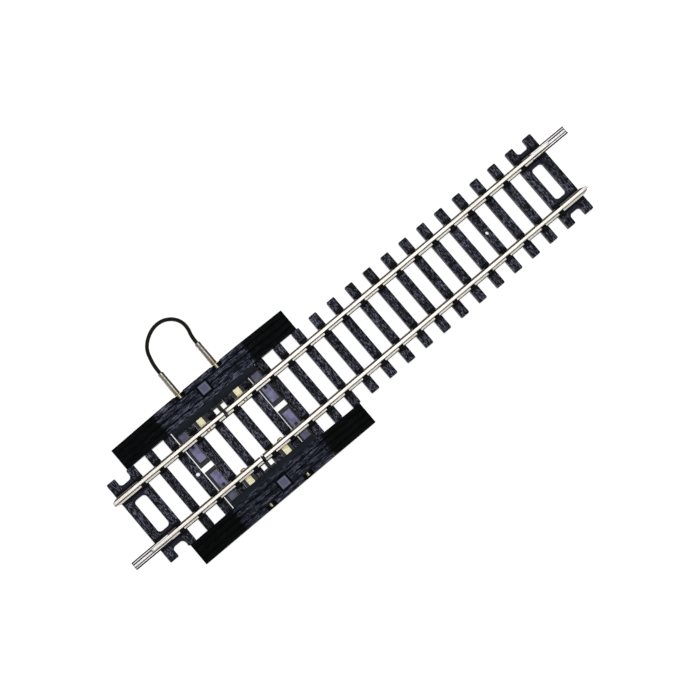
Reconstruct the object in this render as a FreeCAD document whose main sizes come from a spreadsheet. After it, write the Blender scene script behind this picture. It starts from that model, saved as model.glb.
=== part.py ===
import FreeCAD, Part
import math
import os
import re

import Sketcher

# Straight 16.5 mm gauge track section with both rails cut, and a terminal block on each side of the cut.
# Millimetres. +X runs along the track, +Y is the side that carries the link lead, +Z is up from the table.
# The origin is on the table, under the middle of the section.

SIZES = (
    ("sleeper_count", 24, "sleepers from end to end"),
    ("sleeper_pitch", 7.0, "sleeper to sleeper; a half pitch of rail stands past each end sleeper"),
    ("sleeper_length", 29.3, "across the track"),
    ("sleeper_width", 2.8, "along the track"),
    ("first_short_sleeper", 2, "first of the sleepers that end at the terminal blocks"),
    ("last_short_sleeper", 11, "last of them"),
    ("sleeper_play", 0.05, "between those sleepers' ends and the blocks"),
    ("end_sleeper_width", 3.05, "the first and last sleepers are a little wider"),
    ("sleeper_height", 2.3, "table to the underside of the rail foot"),
    ("gauge", 16.5, "between the inner faces of the rail heads"),
    ("rail_height", 2.54, "code 100 rail"),
    ("head_width", 0.95, "rail head"),
    ("head_height", 0.75, "rail head, down to the web"),
    ("head_chamfer", 0.16, "worn corners of the rail head"),
    ("rail_web", 0.45, "thickness of the rail's upright web"),
    ("foot_width", 2.3, "rail foot"),
    ("foot_height", 0.32, "rail foot"),
    ("foot_bevel_run", 1.7, "corner taken off the rail foot at an open end, along the rail"),
    ("foot_bevel_depth", 0.55, "the same, across the rail"),
    ("rail_gap", 1.05, "cut through both rails"),
    ("web_width", 1.6, "strip that ties the sleepers under each rail"),
    ("web_height", 0.75, "the same, hung from the sleepers' top"),
    ("low_web_floor", 0.2, "underside of the tie where the contact strips cross it"),
    ("low_web_top", 1.5, "top of the same tie"),
    ("end_web_inner", 5.85, "plate between the two sleepers at each end, from the centre line"),
    ("end_web_outer", 11.7, "the same, outer edge"),
    ("end_web_height", 1.9, "the same, top"),
    ("end_web_radius", 1.2, "rounded corners of the openings beside that plate"),
    ("recess_width", 3.0, "lowered seat for the joiner on each end sleeper"),
    ("chair_length", 1.65, "rail chair, along the rail"),
    ("chair_reach", 1.9, "rail chair, outer face from the rail's centre"),
    ("chair_height", 0.85, "rail chair, above the sleeper"),
    ("chair_lip", 0.28, "how far a chair reaches over the rail foot"),
    ("chair_gap", 0.03, "clearance between a chair and the rail foot"),
    ("fixing_hole_radius", 0.6, "track pin hole"),
    ("fixing_sleeper_west", 4, "sleeper with the first pin hole"),
    ("fixing_sleeper_east", 20, "sleeper with the second pin hole"),
    ("block_length", 64.8, "terminal block, along the track"),
    ("block_outer", 21.7, "terminal block, outer face from the centre line"),
    ("block_inner", 14.35, "terminal block beside the sleeper ends"),
    ("block_top", 4.7, "terminal block's flat top"),
    ("block_flat", 31.2, "length of that flat top"),
    ("ramp_end", 1.3, "height of the ramps at the block's ends"),
    ("slope_foot", 12.3, "lower edge of the slope towards the rail"),
    ("slope_head", 14.2, "upper edge of that slope"),
    ("tray_floor", 0.8, "thickness of the tray under the block"),
    ("arm_west", 13.6, "arm under the rails, west of the cut"),
    ("arm_east", 14.1, "arm under the rails, east of the cut"),
    ("arm_width", 2.6, "arm, along the track"),
    ("arm_height", 1.4, "arm"),
    ("arm_tip", 2.2, "end of the arm, from the centre line"),
    ("arm_base_width", 3.5, "thin base under each arm, along the track"),
    ("arm_base_east", 2.05, "reach of that base east of the middle of the gap it lies in"),
    ("arm_base_height", 0.6, "thickness of that base"),
    ("arm_base_tip", 0.8, "end of the base, from the centre line"),
    ("arm_bay_west", 4.5, "middle of the gap between sleepers that the west arms lie in"),
    ("arm_bay_east", 8.5, "middle of the gap that the east arms lie in"),
    ("arm_hole", 1.0, "square recess in each arm, down to its base"),
    ("arm_hole_centre", 7.0, "the same, from the centre line"),
    ("bay_fill", 3.9, "width of the tray's fingers between two sleepers"),
    ("finger_end", 10.0, "end of the fingers that carry the contact strips"),
    ("gap_finger_end", 11.6, "end of the finger beside the cut"),
    ("fin_rest_width", 1.2, "narrow end of that finger, under the insulating fin"),
    ("fin_rest_end", 9.6, "the same, from the centre line"),
    ("lug_side", 3.0, "square locking lug"),
    ("lug_hole", 4.3, "square hole that the lug stands in"),
    ("lug_centre", 18.05, "lug, from the centre line"),
    ("cover_ceiling", 0.75, "thickness of the cover over its hollow"),
    ("cover_wall", 1.0, "end walls of the hollow, to the flat top's ends"),
    ("hollow_inner", 14.25, "hollow under the cover, from the centre line"),
    ("hollow_outer", 20.2, "the same, outer wall"),
    ("board_width", 1.7, "one plank of the cover"),
    ("groove_width", 0.25, "groove between planks"),
    ("groove_depth", 0.22, "the same"),
    ("notch_width", 3.4, "open notch over each socket's mouth"),
    ("notch_floor", 2.6, "floor of that notch"),
    ("saddle_width", 4.4, "saddle of the cover over a socket tube"),
    ("saddle_play", 0.05, "between a socket tube and that saddle"),
    ("socket_spacing", 14.0, "between the two sockets of a block"),
    ("socket_height", 3.0, "socket axis above the table"),
    ("socket_radius", 0.8, "outside of the socket tube"),
    ("socket_bore", 0.62, "inside of the socket tube"),
    ("socket_mouth", 21.2, "mouth of the socket, from the centre line"),
    ("socket_length", 6.0, "socket tube"),
    ("strip_width", 2.0, "contact strip"),
    ("strip_thickness", 0.25, "contact strip"),
    ("strip_inner", 9.95, "where the strip narrows, beside the rail foot"),
    ("strip_outer", 19.9, "end of the strip under the socket"),
    ("tongue_width", 0.8, "narrow tongue that hooks round the rail foot"),
    ("hook_height", 0.45, "hook above the strip"),
    ("fin_thickness", 0.35, "insulating fin in the rail gap"),
    ("fin_slot", 0.45, "slot for the fin in the cover"),
    ("fin_proud", 0.15, "fin above the slope"),
    ("fin_below_head", 0.1, "fin below the top of the rail"),
    ("joiner_length", 13.7, "rail joiner"),
    ("joiner_overhang", 6.95, "part of the joiner past the rail's end"),
    ("joiner_sheet", 0.15, "thickness of the joiner's sheet"),
    ("joiner_play", 0.04, "clearance between the joiner and the rail foot"),
    ("joiner_slit", 0.9, "slit in the joiner for the rail's web"),
    ("joiner_mouth", 2.1, "slit at the joiner's ends"),
    ("joiner_mouth_run", 1.2, "length of that widening"),
    ("pin_radius", 0.575, "plug pin of the link lead"),
    ("pin_tip", 15.6, "inner end of the pins, from the centre line"),
    ("pin_root", 25.8, "outer end of the pins, inside the ferrules"),
    ("pin_nose", 0.25, "bevel on the pin's tip"),
    ("ferrule_radius", 0.95, "ferrule of the link lead"),
    ("ferrule_inner", 21.8, "ferrule's end by the block"),
    ("ferrule_outer", 29.8, "ferrule's end by the wire"),
    ("crimp_play", 0.01, "clearance round the pin and the core inside a ferrule"),
    ("jacket_radius", 0.6, "wire insulation"),
    ("core_radius", 0.25, "wire core"),
)

# Free route of the link lead from the west ferrule to the east one: straight out, down to the table and back.
LEAD_ROUTE = (
    (-49.0, 29.8, 3.0),
    (-49.0, 32.0, 3.0),
    (-48.5, 34.7, 2.4),
    (-47.5, 37.9, 1.5),
    (-45.2, 40.3, 0.8),
    (-41.9, 41.9, 0.62),
    (-38.5, 41.9, 0.62),
    (-35.8, 40.4, 0.8),
    (-34.2, 37.9, 1.4),
    (-34.1, 35.0, 2.3),
    (-35.0, 32.2, 3.0),
    (-35.0, 29.8, 3.0),
)

SHEET = "Sizes"
ALIASES = [alias for alias, _, _ in SIZES]
WORD = re.compile(r"[a-z]+(?:_[a-z]+)*")

RAIL = "((gauge + head_width) / 2)"
HALF_TRACK = "(sleeper_count * sleeper_pitch / 2)"
CUT = f"(-{HALF_TRACK} / 2)"
RAIL_TOP = "(sleeper_height + rail_height)"
FAR, NEAR = 1, -1
WEST, EAST = -1, 1
SIDES = {"far": FAR, "near": NEAR}
ENDS = {"west": WEST, "east": EAST}


def bound(expression):
    """An expression in the sheet's words, with the sheet's name put before each word."""
    return WORD.sub(lambda word: f"{SHEET}.{word.group()}" if word.group() in ALIASES else word.group(),
                    expression)


def sleeper_x(count):
    """Place along the track of a sleeper, counted from the west end."""
    return f"((({count}) - 0.5) * sleeper_pitch - {HALF_TRACK})"


def socket_x(end):
    """Place along the track of a block's west or east socket."""
    return f"({CUT} + {end} * socket_spacing / 2)"


def make_sheet(doc):
    """Writes the driving dimensions as one row each: name, number, what it is."""
    sheet = doc.addObject("Spreadsheet::Sheet", SHEET)
    for row, (alias, number, meaning) in enumerate(SIZES, start=1):
        sheet.set(f"A{row}", alias)
        sheet.set(f"B{row}", str(number))
        sheet.set(f"C{row}", meaning)
        sheet.setAlias(f"B{row}", alias)
    doc.recompute()
    return sheet


def number(holder, expression):
    """What an expression on the sheet comes to."""
    result = holder.evalExpression(bound(expression))
    return float(getattr(result, "Value", result))


def new_body(name):
    """An empty body with a label of its own."""
    body = doc.addObject("PartDesign::Body", name)
    body.Label = name
    body.AllowCompound = True
    return body


def origin_part(body, role):
    """One of a body's own origin planes or axes."""
    return next(feature for feature in body.Origin.OriginFeatures if feature.Role == role)


def new_sketch(body, plane, offset="0"):
    """A sketch on one of the body's origin planes, moved along that plane's normal."""
    sketch = body.newObject("Sketcher::SketchObject", f"{body.Name}_sketch")
    sketch.AttachmentSupport = (origin_part(body, plane), [""])
    sketch.MapMode = "FlatFace"
    sketch.setExpression("AttachmentOffset.Base.z", bound(offset))
    return sketch


def place_point(sketch, shape, point, corner, place):
    """Ties a point of the sketch to two expressions, across and up from the sketch's origin."""
    for kind, expression, distance in zip(("DistanceX", "DistanceY"), corner, place):
        index = sketch.addConstraint(Sketcher.Constraint(kind, -1, 1, shape, point, distance))
        name = f"{kind}_{shape}"
        sketch.renameConstraint(index, name)
        sketch.setExpression(f"Constraints.{name}", bound(expression))


def outline(sketch, corners):
    """Draws a closed polygon through corners given as (across, up) expressions."""
    first = sketch.GeometryCount
    count = len(corners)
    places = [(number(sketch, across), number(sketch, up)) for across, up in corners]
    for i in range(count):
        start = FreeCAD.Vector(*places[i], 0)
        end = FreeCAD.Vector(*places[(i + 1) % count], 0)
        sketch.addGeometry(Part.LineSegment(start, end), False)
    for i in range(count):
        sketch.addConstraint(Sketcher.Constraint("Coincident", first + i, 2, first + (i + 1) % count, 1))
    for i in range(count):
        place_point(sketch, first + i, 1, corners[i], places[i])


def rectangle(sketch, across_from, across_to, up_from, up_to):
    """Draws an upright rectangle between two pairs of expressions."""
    corners = ((across_from, up_from), (across_to, up_from), (across_to, up_to), (across_from, up_to))
    outline(sketch, corners)


def circle(sketch, across, up, radius):
    """Draws a circle whose centre and radius are expressions."""
    centre = (number(sketch, across), number(sketch, up))
    shape = sketch.addGeometry(Part.Circle(FreeCAD.Vector(*centre, 0), FreeCAD.Vector(0, 0, 1),
                                           number(sketch, radius)), False)
    place_point(sketch, shape, 3, (across, up), centre)
    index = sketch.addConstraint(Sketcher.Constraint("Radius", shape, number(sketch, radius)))
    sketch.renameConstraint(index, f"Radius_{shape}")
    sketch.setExpression(f"Constraints.Radius_{shape}", bound(radius))


def pad(body, sketch, length, reverse=False):
    """Raises a sketch along its normal, or against it."""
    feature = body.newObject("PartDesign::Pad", f"{body.Name}_pad")
    feature.Profile = sketch
    feature.Reversed = reverse
    feature.setExpression("Length", bound(length))
    doc.recompute()
    return feature


def pocket(body, sketch, length, reverse=False):
    """Cuts a sketch into the body against its normal, or along it, and checks that it removed something."""
    before = body.Shape.Volume
    feature = body.newObject("PartDesign::Pocket", f"{body.Name}_pocket")
    feature.Profile = sketch
    feature.Reversed = reverse
    feature.setExpression("Length", bound(length))
    doc.recompute()
    if not body.Shape.Volume < before:
        raise RuntimeError(f"{feature.Name} cuts nothing")
    return feature


def repeat(body, feature, axis, count, extent, reverse=False):
    """Repeats a feature along one of the body's axes."""
    pattern = body.newObject("PartDesign::LinearPattern", f"{body.Name}_pattern")
    pattern.Originals = [feature]
    pattern.Direction = (origin_part(body, axis), [""])
    pattern.Reversed = reverse
    pattern.setExpression("Length", bound(extent))
    pattern.setExpression("Occurrences", bound(count))
    body.Tip = pattern
    doc.recompute()
    return pattern


def make_sleeper_base():
    """Moulded ladder of sleepers, the ties under the rails, and the chairs that hold the rail feet."""
    body = new_body("sleeper_base")
    ends = new_sketch(body, "XY_Plane")
    for sleeper in ("1", "sleeper_count"):
        rectangle(ends, f"{sleeper_x(sleeper)} - end_sleeper_width / 2",
                  f"{sleeper_x(sleeper)} + end_sleeper_width / 2", "-sleeper_length / 2", "sleeper_length / 2")
    pad(body, ends, "sleeper_height")

    plain = new_sketch(body, "XY_Plane")
    rectangle(plain, f"{sleeper_x(2)} - sleeper_width / 2", f"{sleeper_x(2)} + sleeper_width / 2",
              "-sleeper_length / 2", "sleeper_length / 2")
    repeat(body, pad(body, plain, "sleeper_height"), "X_Axis", "sleeper_count - 2",
           "(sleeper_count - 3) * sleeper_pitch")

    short_ends = new_sketch(body, "XY_Plane", "sleeper_height")
    for side in (FAR, NEAR):
        rectangle(short_ends, f"{sleeper_x('first_short_sleeper')} - sleeper_width / 2",
                  f"{sleeper_x('last_short_sleeper')} + sleeper_width / 2",
                  f"{side} * (block_inner - sleeper_play)", f"{side} * sleeper_length / 2")
    pocket(body, short_ends, "sleeper_height")

    ties = new_sketch(body, "XY_Plane", "sleeper_height - web_height")
    low_ties = new_sketch(body, "XY_Plane", "low_web_floor")
    end_plates = new_sketch(body, "XY_Plane")
    last = "sleeper_count - 1"
    for side in (FAR, NEAR):
        inner, outer = f"{side} * {RAIL} - web_width / 2", f"{side} * {RAIL} + web_width / 2"
        rectangle(ties, sleeper_x(2), sleeper_x(5), inner, outer)
        rectangle(ties, sleeper_x(8), sleeper_x(last), inner, outer)
        rectangle(low_ties, sleeper_x(5), sleeper_x(8), inner, outer)
        for start, stop in ((sleeper_x(1), sleeper_x(2)), (sleeper_x(last), sleeper_x("sleeper_count"))):
            rectangle(end_plates, start, stop, f"{side} * end_web_inner", f"{side} * end_web_outer")
    pad(body, ties, "web_height")
    pad(body, low_ties, "low_web_top - low_web_floor")
    plates = pad(body, end_plates, "end_web_height")

    round_end_openings(body, plates)

    seats = new_sketch(body, "XY_Plane", "sleeper_height")
    for side in (FAR, NEAR):
        for sleeper in ("1", "sleeper_count"):
            rectangle(seats, f"{sleeper_x(sleeper)} - end_sleeper_width / 2",
                      f"{sleeper_x(sleeper)} + end_sleeper_width / 2",
                      f"{side} * {RAIL} - recess_width / 2", f"{side} * {RAIL} + recess_width / 2")
    pocket(body, seats, "sleeper_height - end_web_height")

    chairs = new_sketch(body, "YZ_Plane", f"{sleeper_x(2)} - chair_length / 2")
    for side in (FAR, NEAR):
        for facing in (-1, 1):
            chair_section(chairs, side, facing)
    repeat(body, pad(body, chairs, "chair_length"), "X_Axis", "sleeper_count - 2",
           "(sleeper_count - 3) * sleeper_pitch")

    holes = new_sketch(body, "XY_Plane", "sleeper_height")
    for sleeper in ("fixing_sleeper_west", "fixing_sleeper_east"):
        circle(holes, sleeper_x(sleeper), "0", "fixing_hole_radius")
    pocket(body, holes, "sleeper_height")
    return body


def round_end_openings(body, plates):
    """Rounds the upright corners where the end plates meet the first two and last two sleepers."""
    inner = number(plates, "end_web_inner")
    outer = number(plates, "end_web_outer")
    corners = []
    for index, edge in enumerate(plates.Shape.Edges, start=1):
        box = edge.BoundBox
        upright = box.XLength < 1e-6 and box.YLength < 1e-6
        if upright and min(abs(abs(box.YMin) - inner), abs(abs(box.YMin) - outer)) < 1e-6:
            corners.append(f"Edge{index}")
    fillet = body.newObject("PartDesign::Fillet", f"{body.Name}_fillet")
    fillet.Base = (plates, corners)
    fillet.setExpression("Radius", bound("end_web_radius"))
    doc.recompute()
    return fillet


def chair_section(sketch, side, facing):
    """One chair across the rail: a block beside the foot with a lip over it."""
    def across(distance):
        return f"{side} * {RAIL} + {facing} * ({distance})"
    top = "sleeper_height + chair_height"
    lip_underside = "sleeper_height + foot_height + chair_gap"
    outline(sketch, (
        (across("foot_width / 2 + chair_gap"), "sleeper_height"),
        (across("chair_reach"), "sleeper_height"),
        (across("chair_reach"), f"{top} - chair_lip"),
        (across("chair_reach - chair_lip"), top),
        (across("foot_width / 2 - chair_lip"), top),
        (across("foot_width / 2 - chair_lip"), lip_underside),
        (across("foot_width / 2 + chair_gap"), lip_underside),
    ))


def make_rail(name, side, start, stop, open_end):
    """A length of rail; the foot's corners are taken off at the end that meets the next section."""
    body = new_body(name)
    section = new_sketch(body, "YZ_Plane", start)

    def right(half, up):
        return (f"{side} * {RAIL} + {half}", up)

    def left(half, up):
        return (f"{side} * {RAIL} - ({half})", up)
    half_outline = (
        ("foot_width / 2", "sleeper_height"),
        ("foot_width / 2", "sleeper_height + foot_height"),
        ("rail_web / 2", "sleeper_height + foot_height"),
        ("rail_web / 2", f"{RAIL_TOP} - head_height"),
        ("head_width / 2", f"{RAIL_TOP} - head_height + head_chamfer"),
        ("head_width / 2", f"{RAIL_TOP} - head_chamfer"),
        ("head_width / 2 - head_chamfer", RAIL_TOP),
    )
    corners = [right(half, up) for half, up in half_outline]
    corners += [left(half, up) for half, up in reversed(half_outline)]
    outline(section, corners)
    pad(body, section, f"({stop}) - ({start})")

    bevels = new_sketch(body, "XY_Plane", "sleeper_height + foot_height")
    tip = f"{open_end} * {HALF_TRACK}"
    back = f"{open_end} * ({HALF_TRACK} - foot_bevel_run)"
    for edge in (-1, 1):
        outer = f"{side} * {RAIL} + {edge} * foot_width / 2"
        inner = f"{side} * {RAIL} + {edge} * (foot_width / 2 - foot_bevel_depth)"
        outline(bevels, ((tip, outer), (back, outer), (tip, inner)))
    pocket(body, bevels, "foot_height")
    return body


def make_tray(name, side):
    """Lower half of a terminal block: floor, two arms under the rails, fingers between sleepers, locking lug."""
    body = new_body(name)
    inner_edge = f"{side} * block_inner"
    floor = new_sketch(body, "XY_Plane")
    rectangle(floor, f"{CUT} - block_length / 2", f"{CUT} + block_length / 2", inner_edge,
              f"{side} * block_outer")
    pad(body, floor, "tray_floor")

    arms = new_sketch(body, "XY_Plane")
    bases = new_sketch(body, "XY_Plane")
    recesses = new_sketch(body, "XY_Plane", "arm_height")
    for place, bay in (("-arm_west", "arm_bay_west"), ("arm_east", "arm_bay_east")):
        rectangle(arms, f"{CUT} + {place} - arm_width / 2", f"{CUT} + {place} + arm_width / 2",
                  f"{side} * arm_tip", inner_edge)
        rectangle(bases, f"{sleeper_x(bay)} - arm_base_width / 2", f"{sleeper_x(bay)} + arm_base_east",
                  f"{side} * arm_base_tip", inner_edge)
        rectangle(recesses, f"{CUT} + {place} - arm_hole / 2", f"{CUT} + {place} + arm_hole / 2",
                  f"{side} * arm_hole_centre - arm_hole / 2", f"{side} * arm_hole_centre + arm_hole / 2")
    pad(body, arms, "arm_height")
    pad(body, bases, "arm_base_height")
    pocket(body, recesses, "arm_height - arm_base_height")

    strip_underside = "(sleeper_height - strip_thickness)"
    carriers = new_sketch(body, "XY_Plane")
    shoulders = new_sketch(body, "XY_Plane", strip_underside)
    pedestals = new_sketch(body, "XY_Plane", "tray_floor")
    for end in (WEST, EAST):
        centre = socket_x(end)
        rectangle(carriers, f"{centre} - bay_fill / 2", f"{centre} + bay_fill / 2", f"{side} * finger_end",
                  inner_edge)
        rectangle(pedestals, f"{centre} - strip_width / 2", f"{centre} + strip_width / 2", inner_edge,
                  f"{side} * strip_outer")
        for facing in (-1, 1):
            rectangle(shoulders, f"{centre} + {facing} * (strip_width / 2)",
                      f"{centre} + {facing} * bay_fill / 2", f"{side} * finger_end", inner_edge)
    pad(body, carriers, strip_underside)
    pad(body, shoulders, "strip_thickness")
    pad(body, pedestals, f"{strip_underside} - tray_floor")

    beside_cut = new_sketch(body, "XY_Plane")
    rectangle(beside_cut, f"{CUT} - bay_fill / 2", f"{CUT} + bay_fill / 2", f"{side} * gap_finger_end", inner_edge)
    pad(body, beside_cut, "low_web_top")

    fin_rest = new_sketch(body, "XY_Plane")
    rectangle(fin_rest, f"{CUT} - fin_rest_width / 2", f"{CUT} + fin_rest_width / 2", f"{side} * fin_rest_end",
              f"{side} * gap_finger_end")
    pad(body, fin_rest, "low_web_top")

    lug = new_sketch(body, "XY_Plane", "tray_floor")
    rectangle(lug, f"{CUT} - lug_side / 2", f"{CUT} + lug_side / 2", f"{side} * lug_centre - lug_side / 2",
              f"{side} * lug_centre + lug_side / 2")
    pad(body, lug, "block_top - tray_floor")
    return body


def top_line(drop):
    """The cover's top from west to east, lowered by a distance: ramp, flat, ramp."""
    return (
        (f"{CUT} - block_length / 2", f"ramp_end - ({drop})"),
        (f"{CUT} - block_flat / 2", f"block_top - ({drop})"),
        (f"{CUT} + block_flat / 2", f"block_top - ({drop})"),
        (f"{CUT} + block_length / 2", f"ramp_end - ({drop})"),
    )


def make_cover(name, side):
    """Upper half of a terminal block: planked top with a ramp at each end and a slope towards the rail."""
    body = new_body(name)
    profile = new_sketch(body, "XZ_Plane", f"{-side} * block_inner")
    corners = list(top_line("0"))
    corners.append((f"{CUT} + block_length / 2", "tray_floor"))
    corners.append((f"{CUT} - block_length / 2", "tray_floor"))
    outline(profile, corners)
    pad(body, profile, "block_outer - block_inner", reverse=side == FAR)

    slope = new_sketch(body, "YZ_Plane", f"{CUT} - block_flat / 2")
    outline(slope, (
        (f"{side} * block_inner", "sleeper_height"),
        (f"{side} * slope_foot", "sleeper_height"),
        (f"{side} * slope_head", "block_top"),
        (f"{side} * block_inner", "block_top"),
    ))
    pad(body, slope, "block_flat")

    hollow = new_sketch(body, "XY_Plane", "tray_floor")
    rectangle(hollow, f"{CUT} - block_flat / 2 + cover_wall", f"{CUT} + block_flat / 2 - cover_wall",
              f"{side} * hollow_inner", f"{side} * hollow_outer")
    pocket(body, hollow, "block_top - cover_ceiling - tray_floor", reverse=True)

    window = new_sketch(body, "XY_Plane", "block_top")
    rectangle(window, f"{CUT} - lug_hole / 2", f"{CUT} + lug_hole / 2", f"{side} * lug_centre - lug_hole / 2",
              f"{side} * lug_centre + lug_hole / 2")
    pocket(body, window, "cover_ceiling")

    saddles = new_sketch(body, "XZ_Plane", f"{-side} * (socket_mouth - socket_length)")
    for end in (WEST, EAST):
        rectangle(saddles, f"{socket_x(end)} - saddle_width / 2", f"{socket_x(end)} + saddle_width / 2",
                  "socket_height", "block_top - cover_ceiling")
    pad(body, saddles, "hollow_outer - (socket_mouth - socket_length)", reverse=side == FAR)

    notches = new_sketch(body, "XY_Plane", "block_top")
    for end in (WEST, EAST):
        rectangle(notches, f"{socket_x(end)} - notch_width / 2", f"{socket_x(end)} + notch_width / 2",
                  f"{side} * hollow_outer", f"{side} * block_outer")
    pocket(body, notches, "block_top - notch_floor")

    tube_seats = new_sketch(body, "XZ_Plane", f"{-side} * (socket_mouth - socket_length)")
    for end in (WEST, EAST):
        circle(tube_seats, socket_x(end), "socket_height", "socket_radius + saddle_play")
    pocket(body, tube_seats, "block_outer - (socket_mouth - socket_length)", reverse=side == NEAR)

    fin_slot = new_sketch(body, "XY_Plane", "block_top")
    rectangle(fin_slot, f"{CUT} - fin_slot / 2", f"{CUT} + fin_slot / 2", f"{side} * slope_foot",
              f"{side} * (slope_head + fin_proud)")
    pocket(body, fin_slot, "block_top - sleeper_height")

    groove = new_sketch(body, "XZ_Plane", f"{-side} * (block_outer - board_width)")
    outline(groove, list(top_line("0")) + list(reversed(top_line("groove_depth"))))
    first_groove = pocket(body, groove, "groove_width", reverse=side == FAR)
    repeat(body, first_groove, "Y_Axis", "3", "2 * (board_width + groove_width)", reverse=side == FAR)
    return body


def make_contact(name, side, end):
    """Brass strip from the rail foot into the block, with the socket tube on its outer end."""
    body = new_body(name)
    centre = socket_x(end)
    underside = "(sleeper_height - strip_thickness)"
    strip = new_sketch(body, "XY_Plane", underside)
    rectangle(strip, f"{centre} - strip_width / 2", f"{centre} + strip_width / 2", f"{side} * strip_inner",
              f"{side} * strip_outer")
    pad(body, strip, "strip_thickness")

    foot_edge = f"{side} * ({RAIL} - foot_width / 2)"
    hook_face = f"{side} * ({RAIL} - foot_width / 2 - strip_thickness)"
    tongue = new_sketch(body, "YZ_Plane", f"{centre} - tongue_width / 2")
    outline(tongue, (
        (f"{side} * strip_inner", underside),
        (hook_face, underside),
        (hook_face, "sleeper_height + hook_height"),
        (foot_edge, "sleeper_height + hook_height"),
        (foot_edge, "sleeper_height"),
        (f"{side} * strip_inner", "sleeper_height"),
    ))
    pad(body, tongue, "tongue_width")

    tube = new_sketch(body, "XZ_Plane", f"{-side} * (socket_mouth - socket_length)")
    circle(tube, centre, "socket_height", "socket_radius")
    circle(tube, centre, "socket_height", "socket_bore")
    pad(body, tube, "socket_length", reverse=side == FAR)
    return body


def make_fin(name, side):
    """Thin insulating fin that fills the cut in a rail and runs up the block's slope."""
    body = new_body(name)
    section = new_sketch(body, "YZ_Plane", f"{CUT} - fin_thickness / 2")
    inside = f"{side} * ({RAIL} - foot_width / 2)"
    outside = f"{side} * ({RAIL} + foot_width / 2)"
    crest = f"{RAIL_TOP} - fin_below_head"
    bar_top = "sleeper_height + foot_height"
    outline(section, (
        (inside, "low_web_top"),
        (inside, bar_top),
        (f"{side} * ({RAIL} - head_width / 2)", f"{RAIL_TOP} - head_height"),
        (f"{side} * ({RAIL} - head_width / 2)", crest),
        (f"{side} * ({RAIL} + head_width / 2)", crest),
        (f"{side} * ({RAIL} + head_width / 2)", f"{RAIL_TOP} - head_height"),
        (outside, bar_top),
        (f"{side} * (slope_foot - fin_proud)", bar_top),
        (f"{side} * (slope_head - fin_proud)", "block_top + fin_proud / 2"),
        (f"{side} * (slope_head + fin_proud)", "block_top + fin_proud / 2"),
        (f"{side} * (slope_head + fin_proud)", "sleeper_height"),
        (f"{side} * slope_foot", "low_web_top"),
    ))
    pad(body, section, "fin_thickness")
    return body


def make_joiner(name, side, end):
    """Folded sheet channel that grips two rail feet, half of it past the end of its rail."""
    body = new_body(name)
    tip = f"{HALF_TRACK} + joiner_overhang"
    start = f"-({tip})" if end == WEST else f"({tip}) - joiner_length"
    section = new_sketch(body, "YZ_Plane", start)

    def right(half, up):
        return (f"{side} * {RAIL} + ({half})", up)

    def left(half, up):
        return (f"{side} * {RAIL} - ({half})", up)
    room = "foot_width / 2 + joiner_play"
    floor = "sleeper_height - joiner_play"
    ceiling = "sleeper_height + foot_height + joiner_play"
    half_outline = (
        (f"{room} + joiner_sheet", f"{floor} - joiner_sheet"),
        (f"{room} + joiner_sheet", f"{ceiling} + joiner_sheet"),
        ("joiner_slit / 2", f"{ceiling} + joiner_sheet"),
        ("joiner_slit / 2", ceiling),
        (room, ceiling),
        (room, floor),
    )
    corners = [right(half, up) for half, up in half_outline]
    corners += [left(half, up) for half, up in reversed(half_outline)]
    outline(section, corners)
    pad(body, section, "joiner_length")

    mouths = new_sketch(body, "XY_Plane", f"{ceiling} + joiner_sheet")
    for edge, inwards in ((start, 1), (f"{start} + joiner_length", -1)):
        throat = f"{edge} + {inwards} * joiner_mouth_run"
        outline(mouths, (
            (edge, f"{side} * {RAIL} - joiner_mouth / 2"),
            (throat, f"{side} * {RAIL} - joiner_slit / 2"),
            (throat, f"{side} * {RAIL} + joiner_slit / 2"),
            (edge, f"{side} * {RAIL} + joiner_mouth / 2"),
        ))
    pocket(body, mouths, "joiner_sheet")
    return body


def make_pin(name, end):
    """Plug pin: a round bar with a bevelled tip, held in its ferrule by the other end."""
    body = new_body(name)
    section = new_sketch(body, "XY_Plane", "socket_height")
    axis = socket_x(end)
    outline(section, (
        (axis, "pin_tip"),
        (f"{axis} + pin_radius - pin_nose", "pin_tip"),
        (f"{axis} + pin_radius", "pin_tip + pin_nose"),
        (f"{axis} + pin_radius", "pin_root"),
        (axis, "pin_root"),
    ))
    turn_about_own_edge(body, section)
    return body


def make_ferrule(name, end):
    """Ferrule: a sleeve with a wide bore round the pin and a narrow one round the wire's core."""
    body = new_body(name)
    section = new_sketch(body, "XY_Plane", "socket_height")
    axis = socket_x(end)
    pin_wall = f"{axis} + pin_radius + crimp_play"
    core_wall = f"{axis} + core_radius + crimp_play"
    outer = f"{axis} + ferrule_radius"
    outline(section, (
        (pin_wall, "ferrule_inner"),
        (f"{outer} - 2 * head_chamfer / 3", "ferrule_inner"),
        (outer, "ferrule_inner + head_chamfer"),
        (outer, "ferrule_outer - head_chamfer"),
        (f"{outer} - head_chamfer", "ferrule_outer"),
        (core_wall, "ferrule_outer"),
        (core_wall, "pin_root"),
        (pin_wall, "pin_root"),
    ))
    axis_line = section.addGeometry(Part.LineSegment(
        FreeCAD.Vector(number(section, axis), 0, 0),
        FreeCAD.Vector(number(section, axis), number(section, "ferrule_outer"), 0)), True)
    place_point(section, axis_line, 1, (axis, "0"), (number(section, axis), 0))
    section.addConstraint(Sketcher.Constraint("Vertical", axis_line))
    section.addConstraint(Sketcher.Constraint("Distance", axis_line, number(section, "ferrule_outer")))
    revolve(body, section, "Axis0")
    return body


def turn_about_own_edge(body, section):
    """Turns a section about its last edge, which lies on the axis of the piece."""
    return revolve(body, section, f"Edge{section.GeometryCount}")


def revolve(body, section, axis):
    """Turns a sketch a full circle about one of its lines."""
    feature = body.newObject("PartDesign::Revolution", f"{body.Name}_turn")
    feature.Profile = section
    feature.ReferenceAxis = (section, [axis])
    feature.Angle = 360
    doc.recompute()
    return feature


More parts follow.
